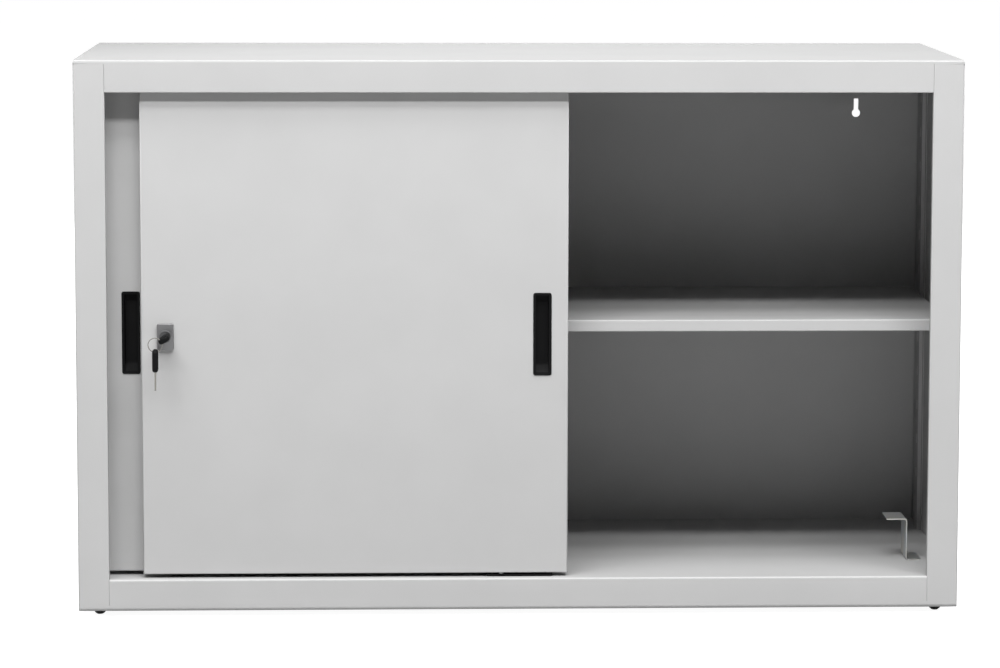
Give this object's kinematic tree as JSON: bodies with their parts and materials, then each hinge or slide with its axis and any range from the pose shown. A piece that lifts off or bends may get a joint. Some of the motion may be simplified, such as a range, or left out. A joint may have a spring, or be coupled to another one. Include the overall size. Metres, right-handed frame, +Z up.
{
  "type": "sliding door cabinet",
  "caption": "Low folded-steel cupboard: two sliding doors hung on rollers, a shelf on slotted uprights, recessed pulls, a keyed cam lock and levelling feet.",
  "frame": {"origin": "on the ground, at the middle of the width and of the whole depth with the key in its lock", "axes": "+Z up; the doors face -Y; +X to the right as seen from the front, the way both doors slide from rest"},
  "size_m": [1.2, 0.4815, 0.758],
  "materials": {
    "grey_paint": "satin powder coat, fine texture",
    "zinc_plate": "bright zinc plate",
    "lock_metal": "satin nickel on die-cast zinc",
    "key_metal": "nickel plate",
    "black_plastic": "moulded, fine spark texture",
    "black_rubber": "moulded",
    "nylon": "natural nylon"
  },
  "bodies": {
    "cabinet": {"side_panel_left": "grey_paint", "side_panel_right": "grey_paint", "top_panel": "grey_paint", "bottom_panel": "grey_paint", "back_panel": "grey_paint", "top_stiffener": "grey_paint", "upright_front_left": "grey_paint", "upright_rear_left": "grey_paint", "upright_front_right": "grey_paint", "upright_rear_right": "grey_paint", "shelf": "grey_paint", "shelf_clips": "zinc_plate", "floor_bracket": "zinc_plate", "top_track": "zinc_plate", "track_stops": "black_rubber", "bottom_guide": "black_plastic", "foot_nuts": "zinc_plate"},
    "front_door": {"front_door_panel": "grey_paint", "front_door_brace": "grey_paint", "front_door_handle": "black_plastic", "front_door_hangers": "zinc_plate", "front_door_axles": "zinc_plate", "lock_housing": "lock_metal", "lock_nut": "lock_metal"},
    "rear_door": {"rear_door_panel": "grey_paint", "rear_door_brace": "grey_paint", "rear_door_handle": "black_plastic", "rear_door_hangers": "zinc_plate", "rear_door_axles": "zinc_plate", "lock_catch": "zinc_plate"},
    "front_wheel_left": {"front_roller_left": "nylon"},
    "front_wheel_right": {"front_roller_right": "nylon"},
    "rear_wheel_left": {"rear_roller_left": "nylon"},
    "rear_wheel_right": {"rear_roller_right": "nylon"},
    "lock_plug": {"lock_cylinder": "lock_metal", "lock_cam": "lock_metal", "cam_screw": "lock_metal"},
    "key": {"key_head": "black_plastic", "key_blade": "key_metal"},
    "ring": {"key_ring": "key_metal"},
    "spare_key": {"spare_key_head": "black_plastic", "spare_key_blade": "key_metal"},
    "foot_front_left": {"foot_glide_front_left": "black_plastic", "foot_stud_front_left": "zinc_plate"},
    "foot_front_right": {"foot_glide_front_right": "black_plastic", "foot_stud_front_right": "zinc_plate"},
    "foot_rear_left": {"foot_glide_rear_left": "black_plastic", "foot_stud_rear_left": "zinc_plate"},
    "foot_rear_right": {"foot_glide_rear_right": "black_plastic", "foot_stud_rear_right": "zinc_plate"}
  },
  "joints": [
    {"name": "front_door_slide", "type": "slide", "parent": "cabinet", "child": "front_door", "axis": [1, 0, 0], "range_m": [0, 0.4975]},
    {"name": "rear_door_slide", "type": "slide", "parent": "cabinet", "child": "rear_door", "axis": [1, 0, 0], "range_m": [0, 0.4975]},
    {"name": "front_roller_left_spin", "type": "hinge", "parent": "front_door", "child": "front_wheel_left", "pos_m": [-0.4525, -0.18275, 0.7378], "axis": [0, 1, 0], "continuous": true},
    {"name": "front_roller_right_spin", "type": "hinge", "parent": "front_door", "child": "front_wheel_right", "pos_m": [0.0055, -0.18275, 0.7378], "axis": [0, 1, 0], "continuous": true},
    {"name": "rear_roller_left_spin", "type": "hinge", "parent": "rear_door", "child": "rear_wheel_left", "pos_m": [-0.503, -0.17425, 0.7378], "axis": [0, 1, 0], "continuous": true},
    {"name": "rear_roller_right_spin", "type": "hinge", "parent": "rear_door", "child": "rear_wheel_right", "pos_m": [-0.045, -0.17425, 0.7378], "axis": [0, 1, 0], "continuous": true},
    {"name": "lock_turn", "type": "hinge", "parent": "front_door", "child": "lock_plug", "pos_m": [-0.48, -0.2, 0.383], "axis": [0, -1, 0], "range_deg": [-30, 60]},
    {"name": "key_pull", "type": "slide", "parent": "lock_plug", "child": "key", "axis": [0, -1, 0], "range_m": [0, 0.03]},
    {"name": "key_ring_turn", "type": "hinge", "parent": "key", "child": "ring", "pos_m": [-0.49169, -0.2335, 0.37625], "axis": [0, -1, 0], "range_deg": [-75, 45]},
    {"name": "spare_key_swing", "type": "hinge", "parent": "ring", "child": "spare_key", "pos_m": [-0.49169, -0.2335, 0.36675], "axis": [1, 0, 0], "range_deg": [-80, 28]},
    {"name": "foot_front_left_turn", "type": "hinge", "parent": "cabinet", "child": "foot_front_left", "pos_m": [-0.573, -0.185, 0.008], "axis": [0, 0, 1], "range_deg": [-720, 720]},
    {"name": "foot_front_right_turn", "type": "hinge", "parent": "cabinet", "child": "foot_front_right", "pos_m": [0.573, -0.185, 0.008], "axis": [0, 0, 1], "range_deg": [-720, 720]},
    {"name": "foot_rear_left_turn", "type": "hinge", "parent": "cabinet", "child": "foot_rear_left", "pos_m": [-0.573, 0.211, 0.008], "axis": [0, 0, 1], "range_deg": [-720, 720]},
    {"name": "foot_rear_right_turn", "type": "hinge", "parent": "cabinet", "child": "foot_rear_right", "pos_m": [0.573, 0.211, 0.008], "axis": [0, 0, 1], "range_deg": [-720, 720]}
  ],
  "couplings": [
    {"joint": "front_roller_left_spin", "follows": "front_door_slide", "rad_per_m": 100},
    {"joint": "front_roller_right_spin", "follows": "front_door_slide", "rad_per_m": 100},
    {"joint": "rear_roller_left_spin", "follows": "rear_door_slide", "rad_per_m": 100},
    {"joint": "rear_roller_right_spin", "follows": "rear_door_slide", "rad_per_m": 100},
    {"joint": "key_ring_turn", "follows": "lock_turn", "ratio": -1}
  ]
}
